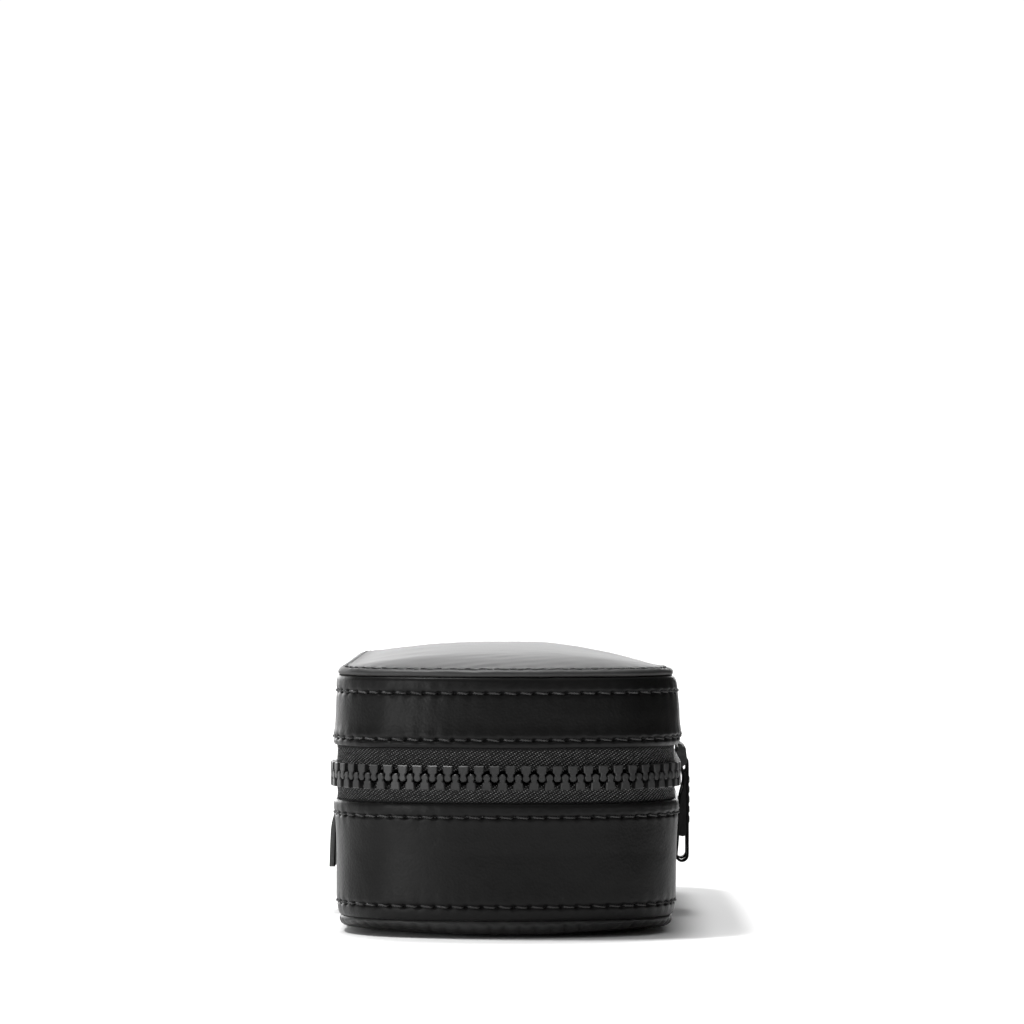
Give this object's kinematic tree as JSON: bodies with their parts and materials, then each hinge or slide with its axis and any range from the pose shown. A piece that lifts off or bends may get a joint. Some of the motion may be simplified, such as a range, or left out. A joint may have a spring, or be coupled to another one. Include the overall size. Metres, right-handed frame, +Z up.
{
  "type": "travel jewellery case",
  "caption": "Black zip-around jewellery case with rounded corners, a padded lid on a soft back hinge, ring rolls and lined compartments.",
  "frame": {"origin": "on the floor under the middle of the case, in its rest face", "axes": "+Z up, -Y the front with the sliders, +Y the hinge, X along the case"},
  "size_m": [0.1994, 0.0914, 0.0684],
  "materials": {
    "black_leather": "matt, fine grain",
    "top_leather": "satin, fine grain",
    "lining": "suede-like nap",
    "board": "greyboard",
    "foam": "open cell foam",
    "zip_tape": "woven",
    "zip_moulding": "matt moulded",
    "binding": "elastic binding",
    "slider_metal": "satin black"
  },
  "bodies": {
    "base": {"bottom_panel": "black_leather", "bottom_foam": "foam", "base_band": "black_leather", "base_floor_board": "board", "base_wall_board": "board", "base_lining": "lining", "long_divider": "lining", "short_divider": "lining", "ring_roll_1": "lining", "ring_roll_2": "lining", "ring_roll_3": "lining", "ring_roll_4": "lining", "ring_roll_5": "lining", "ring_roll_6": "lining", "zip_tape_lower": "zip_tape", "zip_teeth_lower": "zip_moulding", "zip_stops_lower": "zip_moulding", "hinge_strip_lower": "black_leather", "back_tab": "black_leather"},
    "lid": {"lid_band": "black_leather", "lid_wall_board": "board", "lid_top_board": "board", "lid_top_foam": "foam", "lid_top_cover": "top_leather", "lid_lining": "lining", "lid_pocket": "lining", "pocket_binding": "binding", "zip_tape_upper": "zip_tape", "zip_teeth_upper": "zip_moulding", "zip_stops_upper": "zip_moulding", "hinge_strip_upper": "black_leather"},
    "left_slider": {"left_slider": "slider_metal"},
    "right_slider": {"right_slider": "slider_metal"},
    "left_puller": {"left_puller": "black_leather"},
    "right_puller": {"right_puller": "black_leather"}
  },
  "joints": [
    {"name": "lid_hinge", "type": "hinge", "parent": "base", "child": "lid", "pos_m": [0, 0.0429, 0.0383], "axis": [-1, 0, 0], "range_deg": [0, 110]},
    {"name": "left_slider_travel", "type": "slide", "parent": "base", "child": "left_slider", "axis": [-1, 0, 0], "range_m": [0, 0.057]},
    {"name": "right_slider_travel", "type": "slide", "parent": "base", "child": "right_slider", "axis": [1, 0, 0], "range_m": [0, 0.057]},
    {"name": "left_puller_swing", "type": "hinge", "parent": "left_slider", "child": "left_puller", "pos_m": [-0.0064, -0.0446, 0.0383], "axis": [-1, 0, 0], "range_deg": [0, 150]},
    {"name": "right_puller_swing", "type": "hinge", "parent": "right_slider", "child": "right_puller", "pos_m": [0.0064, -0.0446, 0.0383], "axis": [-1, 0, 0], "range_deg": [0, 150]}
  ]
}
